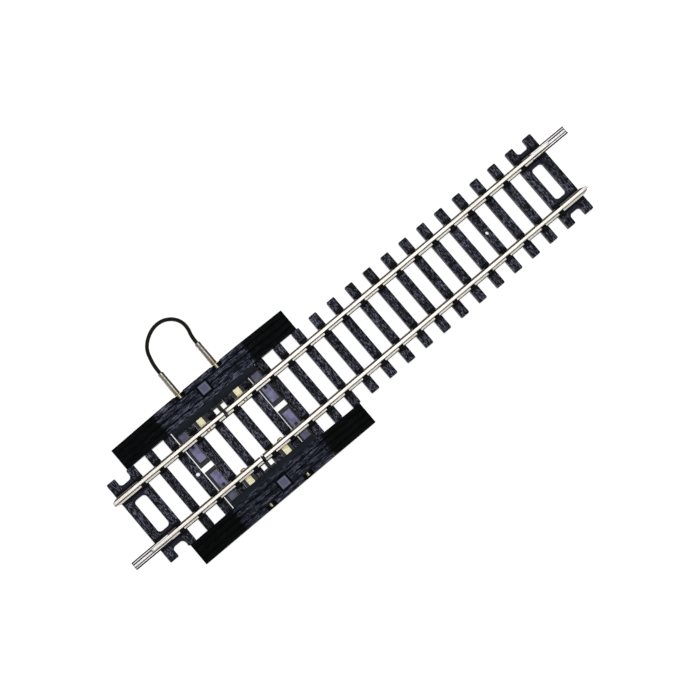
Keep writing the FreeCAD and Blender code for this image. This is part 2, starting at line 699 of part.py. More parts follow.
def lead_path(route):
    """Straight runs joined by tangent arcs; each arc uses 0.45 of the shorter run beside its corner."""
    points = [FreeCAD.Vector(*point) for point in route]
    edges = []
    radii = []
    start = points[0]
    for before, corner, after in zip(points, points[1:], points[2:]):
        back = (before - corner).normalize()
        ahead = (after - corner).normalize()
        turn = math.pi - back.getAngle(ahead)
        reach = 0.45 * min((before - corner).Length, (after - corner).Length)
        radius = reach / math.tan(turn / 2)
        middle_way = (back + ahead).normalize()
        crown = corner + middle_way * (radius / math.cos(turn / 2) - radius)
        enter = corner + back * reach
        leave = corner + ahead * reach
        edges.append(Part.LineSegment(start, enter).toShape())
        edges.append(Part.Arc(enter, crown, leave).toShape())
        radii.append(radius)
        start = leave
    edges.append(Part.LineSegment(start, points[-1]).toShape())
    return Part.Wire(edges), radii


def tube_along(path, start, radius):
    """Solid round bar along a path that sets off towards +Y."""
    ring = Part.Wire([Part.Circle(start, FreeCAD.Vector(0, 1, 0), radius).toShape()])
    return path.makePipeShell([ring], True, False)


def make_lead(sheet):
    """The link's wire: an insulating jacket with a core that runs on into both ferrules."""
    path, radii = lead_path(LEAD_ROUTE)
    print("lead: length", round(path.Length, 2), "radii", [round(radius, 2) for radius in radii])
    start = FreeCAD.Vector(*LEAD_ROUTE[0])
    stop = FreeCAD.Vector(*LEAD_ROUTE[-1])
    core_radius = float(sheet.get("core_radius"))
    play = float(sheet.get("crimp_play"))
    jacket_radius = float(sheet.get("jacket_radius"))
    solid = tube_along(path, start, jacket_radius)
    print("lead: volume against section times length",
          round(solid.Volume / (math.pi * jacket_radius ** 2 * path.Length), 4))
    add_feature("link_jacket", solid.cut(tube_along(path, start, core_radius + play)))

    crimped = start.y - float(sheet.get("pin_root"))
    outwards = FreeCAD.Vector(0, -1, 0)
    core = tube_along(path, start, core_radius)
    for end in (start, stop):
        core = core.fuse(Part.makeCylinder(core_radius, crimped, end, outwards))
    add_feature("link_core", core.removeSplitter())


def add_feature(name, shape):
    """Puts a shape into the document as a sub-part of its own."""
    feature = doc.addObject("Part::Feature", name)
    feature.Label = name
    feature.Shape = shape
    feature.Placement = FreeCAD.Placement()
    return feature


def make_everything(sheet):
    """Builds every sub-part."""
    make_sleeper_base()
    for side_name, side in SIDES.items():
        make_rail(f"rail_{side_name}_west", side, f"-{HALF_TRACK}", f"{CUT} - rail_gap / 2", WEST)
        make_rail(f"rail_{side_name}_east", side, f"{CUT} + rail_gap / 2", HALF_TRACK, EAST)
        make_tray(f"terminal_tray_{side_name}", side)
        make_cover(f"terminal_cover_{side_name}", side)
        make_fin(f"insulating_fin_{side_name}", side)
        for end_name, end in ENDS.items():
            make_contact(f"contact_{side_name}_{end_name}", side, end)
    make_joiner("joiner_west", NEAR, WEST)
    make_joiner("joiner_east", FAR, EAST)
    for end_name, end in ENDS.items():
        make_pin(f"link_pin_{end_name}", end)
        make_ferrule(f"link_ferrule_{end_name}", end)
    make_lead(sheet)


def check_and_export():
    """Stops on any failed object, then writes each sub-part to a file with its own name."""
    doc.recompute()
    for item in doc.Objects:
        if {"Invalid", "Error"} & set(item.State):
            raise RuntimeError(f"{item.Name} failed: {item.State}")
    os.makedirs("parts", exist_ok=True)
    for item in doc.Objects:
        if item.TypeId not in ("PartDesign::Body", "Part::Feature"):
            continue
        shape = item.Shape
        if shape.isNull() or not shape.isValid():
            raise RuntimeError(f"{item.Label} has no valid shape")
        box = shape.BoundBox
        print(f"{item.Label:22s} solids {len(shape.Solids)} volume {shape.Volume:9.3f}",
              f"x {box.XMin:.2f} {box.XMax:.2f} y {box.YMin:.2f} {box.YMax:.2f} z {box.ZMin:.2f} {box.ZMax:.2f}")
        shape.exportStep(f"parts/{item.Label}.step")


doc = FreeCAD.newDocument("IsolatingTrack")
make_everything(make_sheet(doc))
check_and_export()
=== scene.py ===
"""Straight track section with both rails cut, a terminal block beside each cut and a plug-in link lead.

Shapes are worked out in millimetres in the frame of the CAD model: +X along the track, +Y towards the
link lead, +Z up from the table. They are turned into metres when the mesh is made.
"""
import math

import bpy
import numpy as np
from mathutils import Matrix, Vector


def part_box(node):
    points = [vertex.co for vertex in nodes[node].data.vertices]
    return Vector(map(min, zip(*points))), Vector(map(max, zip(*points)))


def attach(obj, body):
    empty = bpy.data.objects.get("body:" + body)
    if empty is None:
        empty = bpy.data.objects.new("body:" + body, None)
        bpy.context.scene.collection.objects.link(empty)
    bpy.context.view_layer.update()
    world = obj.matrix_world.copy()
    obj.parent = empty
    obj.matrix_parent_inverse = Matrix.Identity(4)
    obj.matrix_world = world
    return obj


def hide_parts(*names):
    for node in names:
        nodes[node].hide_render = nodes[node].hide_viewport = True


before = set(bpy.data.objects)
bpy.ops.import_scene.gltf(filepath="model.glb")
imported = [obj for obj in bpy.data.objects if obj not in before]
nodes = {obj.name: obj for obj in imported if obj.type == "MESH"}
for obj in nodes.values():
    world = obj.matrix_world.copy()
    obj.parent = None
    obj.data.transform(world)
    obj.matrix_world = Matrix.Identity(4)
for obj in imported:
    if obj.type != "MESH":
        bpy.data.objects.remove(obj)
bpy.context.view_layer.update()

MM = 0.001
SIDES = {"far": 1, "near": -1}
ENDS = {"west": -1, "east": 1}


def span(node, axis):
    """Lowest and highest value of a CAD node along one axis, in millimetres."""
    low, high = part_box(node)
    return low[axis] / MM, high[axis] / MM


# Track sizes, in millimetres, read from the frame or shared with it.
SLEEPERS = 24
PITCH = 7.0
HALF_TRACK = SLEEPERS * PITCH / 2
SLEEPER_HALF_LENGTH = span("sleeper_base", 1)[1]
# The sleepers between the two blocks stop short at the blocks' inner faces.
SHORT_HALF_LENGTH = 14.3
SHORT_SLEEPERS = range(2, 12)
SLEEPER_HALF_WIDTH = 1.4
END_SLEEPER_HALF_WIDTH = 1.525
SLEEPER_TOP = 2.3
PLATE_TOP = 1.9
SEAT_HALF = 1.5
DRILLED_SLEEPERS = (4, 20)
RAIL_TOP = span("rail_far_east", 2)[1]
RAIL_CENTRE = sum(span("rail_far_east", 1)) / 2
FOOT_HALF = 1.15
FOOT_TOP = SLEEPER_TOP + 0.32
CUT = -HALF_TRACK / 2
JOINER_TIP = span("joiner_east", 0)[1]
SOCKET_SPACING = 14.0
SOCKETS = {"west": CUT - SOCKET_SPACING / 2, "east": CUT + SOCKET_SPACING / 2}
SOCKET_HEIGHT = 3.0


# ---------------------------------------------------------------- camera, lights and floor

def aimed(eye, target, roll):
    """Matrix of something at eye that looks at target, its upright turned by roll from the +Y side."""
    forward = (target - eye).normalized()
    level = forward.cross(Vector((0, 1, 0))).normalized()
    upright = level.cross(forward)
    right = math.cos(roll) * level - math.sin(roll) * upright
    up = math.sin(roll) * level + math.cos(roll) * upright
    turned = Matrix((right, up, -forward)).transposed().to_4x4()
    return Matrix.Translation(eye) @ turned


def make_camera():
    """Long lens almost straight above the section, turned so that the track runs up to the right."""
    target = Vector((-1.73, -0.62, 2.4)) * MM
    distance = 766.3 * MM
    tilt, azimuth, roll = math.radians(8.452), math.radians(-150.83), math.radians(40.43)
    direction = Vector((math.sin(tilt) * math.cos(azimuth),
                        math.sin(tilt) * math.sin(azimuth),
                        math.cos(tilt)))
    data = bpy.data.cameras.new("camera")
    data.lens = 133.7
    data.sensor_width = 36.0
    data.clip_start = 0.01
    camera = bpy.data.objects.new("camera", data)
    bpy.context.scene.collection.objects.link(camera)
    camera.matrix_world = aimed(target + direction * distance, target, roll)
    bpy.context.scene.camera = camera


def make_softbox(name, place, size, power, colour):
    """Square area light at a place in metres, aimed at the section."""
    data = bpy.data.lights.new(name, "AREA")
    data.shape = "SQUARE"
    data.size = size
    data.energy = power
    data.color = colour
    light = bpy.data.objects.new(name, data)
    bpy.context.scene.collection.objects.link(light)
    light.matrix_world = aimed(Vector(place), Vector((0, 0, 0)), 0.0)


def make_studio():
    """Overhead softbox in the mirror direction of the camera, in a dim room, over a white table."""
    world = bpy.data.worlds.new("room")
    world.use_nodes = True
    background = world.node_tree.nodes["Background"]
    background.inputs["Color"].default_value = (0.96, 0.97, 1.0, 1.0)
    background.inputs["Strength"].default_value = 0.28
    bpy.context.scene.world = world
    bpy.context.scene.view_settings.view_transform = "Standard"
    make_softbox("overhead", (0.16, 0.10, 1.15), 0.5, 1.3, (1.0, 0.99, 0.97))

    half = 3.0
    mesh = bpy.data.meshes.new("table")
    corners = [(-half, -half, 0), (half, -half, 0), (half, half, 0), (-half, half, 0)]
    mesh.from_pydata(corners, [], [(0, 1, 2, 3)])
    table = bpy.data.objects.new("table", mesh)
    bpy.context.scene.collection.objects.link(table)
    table.location.z = -0.00002
    finish = Finish("table_top")
    finish.set("Base Color", (0.9, 0.9, 0.9, 1.0))
    finish.set("Roughness", 0.9)
    finish.set("Specular IOR Level", 0.0)
    finish.set("Emission Color", (1.0, 1.0, 1.0, 1.0))
    finish.set("Emission Strength", 0.84)
    mesh.materials.append(finish.material)


# ---------------------------------------------------------------- shader maths

class Signal:
    """A number that varies over a surface; arithmetic on it adds Math nodes to its finish."""

    def __init__(self, finish, socket):
        self.finish = finish
        self.socket = socket

    def math(self, operation, *values):
        return self.finish.node("ShaderNodeMath", {"operation": operation}, dict(enumerate(values)))

    def __add__(self, other):
        return self.math("ADD", self, other)

    __radd__ = __add__

    def __mul__(self, other):
        return self.math("MULTIPLY", self, other)

    __rmul__ = __mul__

    def __sub__(self, other):
        return self.math("SUBTRACT", self, other)

    def __rsub__(self, other):
        return self.math("SUBTRACT", other, self)

    def __abs__(self):
        return self.math("ABSOLUTE", self)

    def above(self, other):
        return self.math("GREATER_THAN", self, other)

    def below(self, other):
        return self.math("LESS_THAN", self, other)

    def larger(self, other):
        return self.math("MAXIMUM", self, other)

    def between(self, low, high):
        return self.above(low) * self.below(high)

    def ramp(self, low, high, start=0.0, stop=1.0):
        """Rises smoothly from start to stop as the number goes from low to high."""
        return self.finish.node("ShaderNodeMapRange", {"interpolation_type": "SMOOTHSTEP"},
                                {0: self, 1: low, 2: high, 3: start, 4: stop})


class Finish:
    """One material, and the ways to add nodes to it."""

    def __init__(self, name):
        self.material = bpy.data.materials.new(name)
        self.material.use_nodes = True
        self.tree = self.material.node_tree
        self.shader = self.tree.nodes["Principled BSDF"]

    def plug(self, socket, value):
        """Gives a socket a link or a plain value."""
        if isinstance(value, Signal):
            self.tree.links.new(value.socket, socket)
        else:
            socket.default_value = value

    def node(self, kind, settings, inputs, output=0):
        """Adds a node: its settings first, then the values or links of its sockets."""
        made = self.tree.nodes.new(kind)
        for setting, value in settings.items():
            setattr(made, setting, value)
        for socket, value in inputs.items():
            self.plug(made.inputs[socket], value)
        return Signal(self, made.outputs[output])

    def set(self, socket, value):
        """Gives one of the shader's own sockets a link or a plain value."""
        self.plug(self.shader.inputs[socket], value)

    def place(self):
        """Object coordinates, in metres."""
        return self.node("ShaderNodeTexCoord", {}, {}, "Object")

    def axes(self, letters):
        """Object coordinates as numbers, in millimetres: one for each letter of X, Y and Z that is wanted."""
        scaled = self.node("ShaderNodeVectorMath", {"operation": "SCALE"},
                           {0: self.place(), "Scale": 1 / MM})
        return [self.node("ShaderNodeSeparateXYZ", {}, {0: scaled}, letter) for letter in letters]

    def noise(self, per_mm, detail=3.0, roughness=0.55, distortion=0.0):
        """Noise with so many features per millimetre along X, Y and Z, from 0 to 1."""
        stretched = self.node("ShaderNodeMapping", {},
                              {"Vector": self.place(), "Scale": tuple(value / MM for value in per_mm)})
        return self.node("ShaderNodeTexNoise", {}, {
            "Vector": stretched, "Scale": 1.0, "Detail": detail, "Roughness": roughness,
            "Distortion": distortion})

    def blend(self, amount, under, over):
        """Colour that goes from under to over as amount goes from 0 to 1."""
        return self.node("ShaderNodeMix", {"data_type": "RGBA", "clamp_factor": True},
                         {0: amount, 6: under, 7: over}, 2)

    def bump(self, height, depth_mm, strength=1.0, under=None):
        """Relief of a height signal, that many millimetres deep; it can lie over another relief."""
        inputs = {"Height": height, "Distance": depth_mm * MM, "Strength": strength}
        if under is not None:
            inputs["Normal"] = under
        return self.node("ShaderNodeBump", {}, inputs)


def rgb(red, green, blue):
    """Opaque linear colour."""
    return (red, green, blue, 1.0)


# ---------------------------------------------------------------- finishes

def sleeper_finish():
    """Black moulded sleepers: a painted blue-grey sheen in fine scratches on their tops, left out beside the
    rails as painted shade; a painted bluish sheen on the end plates.
    """
    finish = Finish("sleeper_plastic_finish")
    across, height = finish.axes("YZ")
    scratches = finish.noise((3.2, 0.8, 1.0), 4.0, 0.62, 0.4)
    specks = finish.noise((4.2, 2.4, 3.0), 3.0, 0.6)
    cloud = finish.noise((0.25, 0.12, 0.3), 2.0)
    from_rail = abs(abs(across) - RAIL_CENTRE)
    # Painted sheen: overhead light reflected off the sleepers' tops, broken up by the scratches and specks.
    painted_sheen = scratches.ramp(0.47, 0.60) * specks.ramp(0.42, 0.56)
    painted_sheen = painted_sheen * cloud.ramp(0.3, 0.6, 0.4, 1.0)
    # Kept to the tops and left out within about 2 mm of each rail, where painted shade keeps the sleepers
    # black.
    painted_sheen = painted_sheen * height.ramp(SLEEPER_TOP - 0.6, SLEEPER_TOP - 0.05) * from_rail.ramp(1.9, 2.5)
    # Painted bluish sheen on the smooth end plates.
    plate = height.between(PLATE_TOP - 0.4, PLATE_TOP + 0.06) * from_rail.above(SEAT_HALF + 0.1)
    dark = finish.blend(cloud.ramp(0.35, 0.65), rgb(0.004, 0.005, 0.007), rgb(0.009, 0.0095, 0.015))
    with_painted_sheen = finish.blend(painted_sheen, dark, rgb(0.46, 0.48, 0.66))
    finish.set("Base Color", finish.blend(plate * 0.7, with_painted_sheen, rgb(0.05, 0.05, 0.095)))
    finish.set("Roughness", scratches.ramp(0.3, 0.7, 0.5, 0.34))
    finish.set("Specular IOR Level", 0.12)
    grain = finish.bump(scratches, 0.05, 0.7)
    finish.set("Normal", finish.bump(specks, 0.02, 0.5, grain))
    return finish.material


def plank_finish():
    """Cover of a terminal block: near-black, a painted blue-grey sheen in streaks on the flat top, painted
    shade on the ramps and on the near block, a slate slope.
    """
    finish = Finish("cover_plastic_finish")
    across, height = finish.axes("YZ")
    streaks = finish.noise((0.5, 4.2, 1.2), 4.0, 0.6, 0.7)
    fine = finish.noise((1.4, 9.0, 3.0), 3.0, 0.6)
    patches = finish.noise((0.16, 0.5, 0.3), 2.0)
    on_flat = height.ramp(BLOCK_TOP - 0.4, BLOCK_TOP - 0.1)
    painted_sheen = streaks.ramp(0.47, 0.66) * fine.ramp(0.38, 0.62, 0.25, 1.0) * patches.ramp(0.32, 0.6, 0.2, 1.0)
    on_slope = abs(across).ramp(SLOPE_HEAD + 0.1, SLOPE_HEAD - 0.1)
    on_slope = on_slope * height.between(SLEEPER_TOP - 0.05, BLOCK_TOP)
    # Painted shade: the near block's sheen is weaker than the far block's.
    near_block_shade = across.ramp(-16, 16, 0.62, 1.05)
    # Painted sheen in the streaks: full on the flat top, faint on the ramps.
    strength = painted_sheen * (on_flat * 0.965 + 0.035) * near_block_shade
    # Painted shade: the ramps are darker than the flat top.
    dark = finish.blend(on_flat, rgb(0.0035, 0.0052, 0.0048), rgb(0.013, 0.016, 0.030))
    planks = finish.blend(strength, dark, rgb(0.62, 0.65, 0.90))
    slate = finish.blend(patches, rgb(0.030, 0.037, 0.048), rgb(0.062, 0.072, 0.090))
    finish.set("Base Color", finish.blend(on_slope, planks, slate))
    finish.set("Roughness", streaks.ramp(0.3, 0.7, 0.56, 0.36))
    finish.set("Specular IOR Level", 0.07)
    relief = finish.bump(streaks, 0.05, 0.7)
    finish.set("Normal", finish.bump(fine, 0.015, 0.6, relief))
    return finish.material


def tray_finish():
    """Tray of a terminal block: a painted violet-blue reflection on the arms, a painted blue-grey shine on
    the lug framed by a lighter line, black elsewhere.
    """
    finish = Finish("tray_plastic_finish")
    along, across, height = finish.axes("XYZ")
    reach = abs(across)
    from_cut = along - CUT
    over_arm = from_cut.between(-15.2, -12.0) + from_cut.between(12.6, 15.6)
    arm = over_arm * reach.below(15.0) * height.above(1.2)
    lug = height.ramp(4.2, 4.65)
    tray_mottle = finish.noise((0.5, 0.5, 0.5), 3.0)
    fine = finish.noise((6.0, 6.0, 6.0), 3.0)
    # Painted reflection on the arms' flat tops, patchy, and dimmer outboard of the rails.
    smooth = arm * tray_mottle.ramp(0.3, 0.65, 0.45, 1.0) * reach.ramp(9.5, 8.0, 0.6, 1.0)
    bare = finish.blend(tray_mottle, rgb(0.004, 0.005, 0.006), rgb(0.009, 0.010, 0.013))
    lit_arm = finish.blend(smooth, bare, rgb(0.52, 0.50, 0.92))
    from_lug = abs(from_cut).larger(abs(reach - LUG_CENTRE))
    # Painted shine on the lug: a lighter line framing its window, with speckles.
    frame_line = from_lug.between(1.0, 1.3) * 0.45
    lug_shine = frame_line + fine.ramp(0.5, 0.7) * 0.5
    lit_lug = finish.blend(lug_shine, rgb(0.16, 0.165, 0.32), rgb(0.42, 0.44, 0.64))
    finish.set("Base Color", finish.blend(lug * 0.95, lit_arm, lit_lug))
    finish.set("Roughness", fine.ramp(0.3, 0.7, 0.3, 0.42))
    finish.set("Specular IOR Level", 0.5)
    finish.set("Normal", finish.bump(fine, 0.01, 0.4))
    return finish.material


def fin_finish():
    """Insulating fin: mottled black with a faint violet cast."""
    finish = Finish("fin_plastic_finish")
    fine = finish.noise((4.0, 4.0, 4.0), 3.0)
    finish.set("Base Color", finish.blend(fine, rgb(0.016, 0.013, 0.017), rgb(0.045, 0.040, 0.055)))
    finish.set("Roughness", fine.ramp(0.3, 0.7, 0.35, 0.5))
    finish.set("Specular IOR Level", 0.4)
    finish.set("Normal", finish.bump(fine, 0.02, 0.4))
    return finish.material


def rail_finish():
    """Rolled nickel silver: bright worn head, grey web, and a foot with painted light and shade: cream on its
    -Y side, dark beside the web and on its +Y side.

    The offset is how far a point lies from its own rail's centre line, towards +Y.
    """
    finish = Finish("rail_nickel_finish")
    across, height = finish.axes("YZ")
    offset = across + RAIL_CENTRE - across.above(0) * (2 * RAIL_CENTRE)
    lines = finish.noise((0.22, 14.0, 9.0), 3.0, 0.6)
    stains = finish.noise((0.5, 2.0, 2.0), 3.0, 0.6)
    worn = height.ramp(RAIL_TOP - 0.09, RAIL_TOP - 0.02)
    # Painted light and shade on the foot: lit cream towards the -Y edge, shaded dark from beside the web
    # across the +Y side.
    lit_foot_mask = offset.ramp(-0.5, -0.64, 0.0, 1.0) + offset.ramp(0.98, 1.14, 0.0, 0.7)
    painted_foot_shade = finish.blend(stains, rgb(0.035, 0.03, 0.025), rgb(0.11, 0.095, 0.075))
    foot = finish.blend(stains.ramp(0.4, 0.8), rgb(0.98, 0.95, 0.87), rgb(0.82, 0.77, 0.66))
    head = finish.blend(lines.ramp(0.35, 0.7), rgb(0.90, 0.86, 0.80), rgb(0.74, 0.69, 0.63))
    low = height.ramp(FOOT_TOP + 0.4, FOOT_TOP + 0.12)
    web = finish.blend(stains.ramp(0.35, 0.75), rgb(0.66, 0.62, 0.55), rgb(0.42, 0.38, 0.32))
    flanks = finish.blend(low, web, finish.blend(lit_foot_mask, painted_foot_shade, foot))
    finish.set("Base Color", finish.blend(worn, flanks, head))
    finish.set("Metallic", 1.0)
    finish.set("Roughness", lines.ramp(0.3, 0.7, 0.2, 0.34) + (1 - worn) * 0.04)
    finish.set("Normal", finish.bump(lines, 0.01, 0.4))
    return finish.material


def joiner_finish():
    """Plated sheet with faint drawing lines, with painted shade beside its slit, on its rolled sides and at
    its mouth.
    """
    finish = Finish("joiner_steel_finish")
    along, across, height = finish.axes("XYZ")
    offset = abs(abs(across) - RAIL_CENTRE)
    lines = finish.noise((0.3, 12.0, 8.0), 3.0, 0.6)
    # Painted shade: dark bands beside the slit, on the rolled sides and at the mouth.
    slit_edge = offset.ramp(0.22, 0.3) * offset.ramp(0.72, 0.62)
    side = offset.ramp(0.86, 0.96) * height.ramp(2.42, 2.6, 0.25, 1.0)
    mouth = abs(along).ramp(JOINER_TIP - 0.32, JOINER_TIP - 0.22)
    joiner_shade = (slit_edge * 0.9).larger(side).larger(mouth * 0.85)
    bright = finish.blend(lines.ramp(0.4, 0.75), rgb(0.96, 0.94, 0.97), rgb(0.82, 0.79, 0.82))
    finish.set("Base Color", finish.blend(joiner_shade, bright, rgb(0.012, 0.010, 0.010)))
    # Metallic is lowered on the rolled sides so that their painted shade stays dark.
    finish.set("Metallic", 1 - side * 0.9)
    finish.set("Roughness", lines.ramp(0.3, 0.7, 0.2, 0.36))
    finish.set("Normal", finish.bump(lines, 0.01, 0.4))
    return finish.material


def brass_finish(name, bright, dark_tone):
    """Brass or copper: bright where rubbed, with brown spots, and darker next to the rail."""
    finish = Finish(name)
    [across] = finish.axes("Y")
    spots = finish.noise((2.2, 2.2, 2.2), 3.0, 0.6)
    fine = finish.noise((9.0, 2.0, 9.0), 2.0)
    by_rail = abs(across).ramp(10.9, 9.9)
    # Darker in spots, and darker still next to the rail.
    darkening = spots.ramp(0.5, 0.72) * 0.6 + by_rail * spots.ramp(0.3, 0.6, 0.3, 1.0)
    finish.set("Base Color", finish.blend(darkening, bright, dark_tone))
    finish.set("Metallic", 1.0)
    finish.set("Roughness", fine.ramp(0.3, 0.7, 0.22, 0.38))
    finish.set("Normal", finish.bump(fine, 0.012, 0.4))
    return finish.material


def ferrule_finish():
    """Tinned brass sleeve: silvery, brassy towards the block, with painted shade: tan on its -X side, dark
    along its +X edge.
    """
    finish = Finish("ferrule_tin_finish")
    along, across = finish.axes("XY")
    lines = finish.noise((7.0, 0.7, 7.0), 3.0, 0.6)
    blotches = finish.noise((1.4, 0.9, 1.4), 3.0, 0.6)
    near_block = across.ramp(25.5, 21.8)
    brassy = blotches.ramp(0.4, 0.7) * 0.35 + near_block * 0.75
    bright = finish.blend(brassy, rgb(0.96, 0.93, 0.88), rgb(0.74, 0.60, 0.28))
    from_cut = along - CUT
    from_axis = from_cut + SOCKET_SPACING / 2 - from_cut.above(0) * SOCKET_SPACING
    # Painted shade: tan over the -X side and a dark line along the +X edge.
    shade = from_axis.ramp(0.0, -0.3) * blotches.ramp(0.7, 0.35, 0.5, 0.85)
    plus_x_shade = from_axis.ramp(0.16, 0.36)
    sleeve = finish.blend(shade, bright, rgb(0.30, 0.26, 0.19))
    finish.set("Base Color", finish.blend(plus_x_shade * 0.92, sleeve, rgb(0.03, 0.02, 0.008)))
    finish.set("Metallic", 0.4)
    finish.set("Roughness", lines.ramp(0.3, 0.7, 0.16, 0.34))
    finish.set("Normal", finish.bump(lines, 0.015, 0.5))
    return finish.material


def wire_finish():
    """Black insulation with an olive cast and a faint waxy gloss."""
    finish = Finish("wire_insulation_finish")
    mottle = finish.noise((1.6, 1.6, 1.6), 3.0, 0.6)
    olive = finish.blend(mottle.ramp(0.35, 0.7), rgb(0.007, 0.008, 0.003), rgb(0.018, 0.019, 0.008))
    finish.set("Base Color", olive)
    finish.set("Roughness", mottle.ramp(0.3, 0.7, 0.36, 0.5))
    finish.set("Specular IOR Level", 0.22)
    finish.set("Normal", finish.bump(mottle, 0.02, 0.3))
    return finish.material


# ---------------------------------------------------------------- mesh helpers

def new_piece(name, points, faces, material, smooth_angle=35.0):
    """Mesh object at the origin from points in millimetres; edges sharper than the angle stay crisp."""
    mesh = bpy.data.meshes.new(name)
    mesh.from_pydata((np.asarray(points) * MM).tolist(), [], faces)
    mesh.validate()
    mesh.polygons.foreach_set("use_smooth", [True] * len(mesh.polygons))
    mesh.set_sharp_from_angle(angle=math.radians(smooth_angle))
    mesh.materials.append(material)
    piece = bpy.data.objects.new(name, mesh)
    bpy.context.scene.collection.objects.link(piece)
    return piece


def tube_faces(rows, columns, first=0, flip=False):
    """Quads of a closed loop carried along a path, with a many-sided face at each end."""
    row, column = np.meshgrid(np.arange(rows - 1), np.arange(columns), indexing="ij")
    here = first + row * columns + column
    beside = first + row * columns + (column + 1) % columns
    quads = np.stack([here, beside, beside + columns, here + columns], axis=-1).reshape(-1, 4)
    start = first + np.arange(columns)[::-1]
    stop = first + (rows - 1) * columns + np.arange(columns)
    if flip:
        quads, start, stop = quads[:, ::-1], start[::-1], stop[::-1]
    return quads.tolist() + [start.tolist(), stop.tolist()]


def facing_out(points):
    """Whether loops listed row by row wind so that their quads face outwards."""
    rows = np.asarray(points)
    middle = rows.mean(axis=1)
    step = middle[-1] - middle[0]
    loop = rows[len(rows) // 2] - middle[len(rows) // 2]
    turn = np.cross(loop, np.roll(loop, -1, axis=0)).sum(axis=0)
    return float(np.dot(turn, step)) > 0


def merge_tubes(name, tubes, material, smooth_angle=35.0):
    """One piece from several grids of points, each a closed loop carried along its own path."""
    points, faces, first = [], [], 0
    for tube in tubes:
        rows, columns = tube.shape[:2]
        faces += tube_faces(rows, columns, first, flip=not facing_out(tube))
        points.append(tube.reshape(-1, 3))
        first += rows * columns
    return new_piece(name, np.concatenate(points), faces, material, smooth_angle)


def rounded_loop(corners, radii, steps=4):
    """Polygon with each corner replaced by an arc tangent to its two sides."""
    corners = np.asarray(corners, float)
    loop = []
    for i, corner in enumerate(corners):
        back = corners[i - 1] - corner
        ahead = corners[(i + 1) % len(corners)] - corner
        back_length, ahead_length = np.linalg.norm(back), np.linalg.norm(ahead)
        back, ahead = back / back_length, ahead / ahead_length
        half_angle = math.acos(float(np.clip(np.dot(back, ahead), -1, 1))) / 2
        radius = min(radii[i], 0.49 * min(back_length, ahead_length) * math.tan(half_angle))
        if radius < 1e-4:
            loop.append(corner)
            continue
        bisector = (back + ahead) / np.linalg.norm(back + ahead)
        centre = corner + bisector * radius / math.sin(half_angle)
        start = corner + back * radius / math.tan(half_angle) - centre
        stop = corner + ahead * radius / math.tan(half_angle) - centre
        for step in range(steps + 1):
            part = start + (stop - start) * step / steps
            loop.append(centre + part / np.linalg.norm(part) * radius)
    return np.array(loop)


def mirrored_section(half, radii):
    """Rounded loop of half a section, listed from floor to top, and its mirror image."""
    corners = half + [(-across, up) for across, up in reversed(half)]
    return rounded_loop(corners, radii + radii[::-1])


def along_x(loop, stations):
    """Grid of a (y, z) loop repeated at each x station."""
    stations = np.asarray(stations, float)
    grid = np.empty((len(stations), len(loop), 3))
    grid[:, :, 0] = stations[:, None]
    grid[:, :, 1:] = loop[None]
    return grid


def lattice_noise(along, across, seed):
    """Value noise from -1 to 1: random numbers on a grid, joined by smoothstep curves."""
    columns, rows = 97, 89
    table = np.random.default_rng(seed).uniform(-1, 1, (columns, rows))
    column, row = np.floor(along).astype(int), np.floor(across).astype(int)
    part, rise = along - column, across - row
    part, rise = part * part * (3 - 2 * part), rise * rise * (3 - 2 * rise)

    def corner(right, up):
        return table[(column + right) % columns, (row + up) % rows]

    lower = corner(0, 0) * (1 - part) + corner(1, 0) * part
    upper = corner(0, 1) * (1 - part) + corner(1, 1) * part
    return lower * (1 - rise) + upper * rise


def wood_grain(along, across, seed):
    """Ridges that run along a plank and wander across it: three octaves of stretched noise."""
    wander = 0.35 * lattice_noise(along * 0.16, across * 0.3, seed)
    coarse = lattice_noise(along * 0.22, (across + wander) * 2.3, seed + 1)
    medium = lattice_noise(along * 0.55, (across + wander) * 4.6, seed + 2)
    fine = lattice_noise(along * 1.1, across * 8.5, seed + 3)
    return 0.5 * coarse + 0.33 * medium + 0.17 * fine


# ---------------------------------------------------------------- link lead

# Control points of the wire from the west ferrule to the east one, in millimetres.
LEAD_ROUTE = (
    (-49.0, 29.8, 3.0),
    (-49.0, 32.0, 3.0),
    (-48.5, 34.7, 2.4),
    (-47.5, 37.9, 1.5),
    (-45.2, 40.3, 0.8),
    (-41.9, 41.9, 0.62),
    (-38.5, 41.9, 0.62),
    (-35.8, 40.4, 0.8),
    (-34.2, 37.9, 1.4),
    (-34.1, 35.0, 2.3),
    (-35.0, 32.2, 3.0),
    (-35.0, 29.8, 3.0),
)
WIRE_RADIUS = 0.6


def make_wire(material):
    """Round insulated wire on one smooth spline through the air and down to the table."""
    curve = bpy.data.curves.new("link_wire", "CURVE")
    curve.dimensions = "3D"
    curve.bevel_depth = WIRE_RADIUS * MM
    curve.bevel_resolution = 6
    curve.resolution_u = 12
    curve.use_fill_caps = True
    spline = curve.splines.new("NURBS")
    spline.points.add(len(LEAD_ROUTE) - 1)
    for point, place in zip(spline.points, LEAD_ROUTE):
        point.co = (place[0] * MM, place[1] * MM, place[2] * MM, 1.0)
    spline.order_u = 3
    spline.use_endpoint_u = True
    curve.materials.append(material)
    wire = bpy.data.objects.new("link_wire", curve)
    bpy.context.scene.collection.objects.link(wire)
    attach(wire, "link")
    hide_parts("link_jacket")
    return wire


def turned(profile, centre_x, segments=40):
    """Grid of a (radius, y) profile turned about a socket's axis."""
    angle = np.linspace(0, 2 * np.pi, segments, endpoint=False)
    radius, across = np.asarray(profile, float).T
    grid = np.empty((len(profile), segments, 3))
    grid[:, :, 0] = centre_x + radius[:, None] * np.cos(angle)
    grid[:, :, 1] = across[:, None]
    grid[:, :, 2] = SOCKET_HEIGHT + radius[:, None] * np.sin(angle)
    return grid


